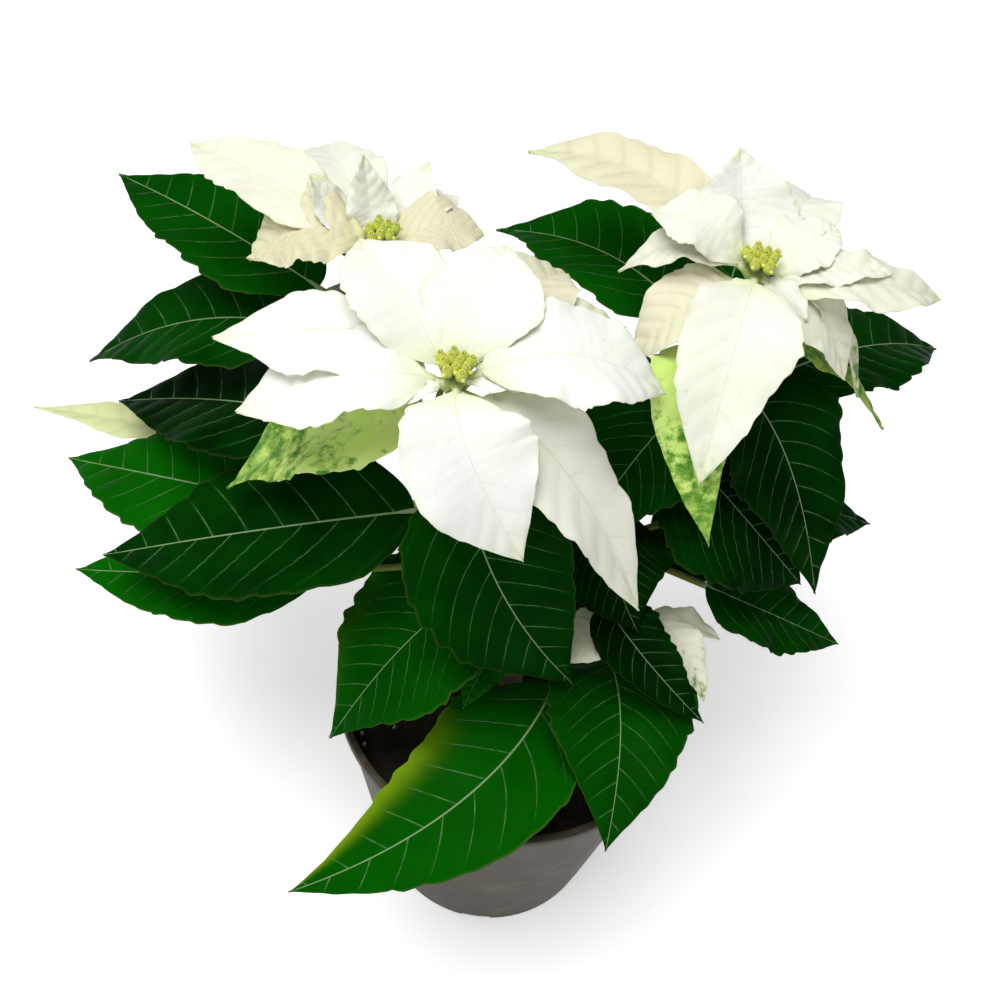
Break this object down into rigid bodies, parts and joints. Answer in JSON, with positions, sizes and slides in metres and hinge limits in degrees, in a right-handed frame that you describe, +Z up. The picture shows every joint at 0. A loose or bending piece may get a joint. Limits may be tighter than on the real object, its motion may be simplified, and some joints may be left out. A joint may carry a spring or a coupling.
{
  "type": "poinsettia",
  "caption": "Potted poinsettia with open blooms of pointed pale bracts over broad dark green leaves, standing in a tapered plastic grower's pot filled with soil.",
  "frame": {"origin": "centre of the underside of the pot's foot ring, on the surface that the pot stands on", "axes": "+Z up along the pot's axis, -Y towards the side from which the largest bloom is seen"},
  "size_m": [0.3658, 0.2723, 0.2916],
  "materials": {
    "pot": "satin",
    "soil": "matte",
    "stem": "matte",
    "leaf_green": "satin",
    "bract_white": "matte",
    "bract_cream": "matte",
    "bract_mottled": "matte",
    "cyathia": "satin"
  },
  "bodies": {
    "root": {"pot": "pot", "soil": "soil", "stem": "stem", "leaf_left_high": "leaf_green", "leaf_left_back": "leaf_green", "leaf_left_dark": "leaf_green", "leaf_left_bright": "leaf_green", "leaf_left_large": "leaf_green", "leaf_left_low": "leaf_green", "leaf_front_large": "leaf_green", "leaf_front_left": "leaf_green", "leaf_front_long": "leaf_green", "leaf_front_right": "leaf_green", "leaf_right_narrow": "leaf_green", "leaf_right_low": "leaf_green", "leaf_right_large": "leaf_green", "leaf_right_outer": "leaf_green", "leaf_right_back": "leaf_green", "leaf_top_centre": "leaf_green", "leaf_inner_front": "leaf_green", "leaf_inner_right": "leaf_green", "leaf_centre_right": "leaf_green", "leaf_young": "leaf_green", "leaf_back_right": "leaf_green", "leaf_back_middle": "leaf_green", "leaf_back_centre": "leaf_green", "leaf_back_left": "leaf_green", "leaf_back_high": "leaf_green", "leaf_back_top": "leaf_green", "leaf_low_back": "leaf_green", "leaf_low_left": "leaf_green", "leaf_low_right": "leaf_green", "cream_leaf_left": "bract_cream", "mottled_bract_centre": "bract_mottled", "mottled_bract_right": "bract_mottled", "green_bract_right": "bract_mottled", "centre_bracts": "bract_white", "centre_cyathia": "cyathia", "right_bracts": "bract_white", "right_cyathia": "cyathia", "left_bracts": "bract_white", "left_cyathia": "cyathia", "side_bracts": "bract_white"}
  },
  "joints": []
}
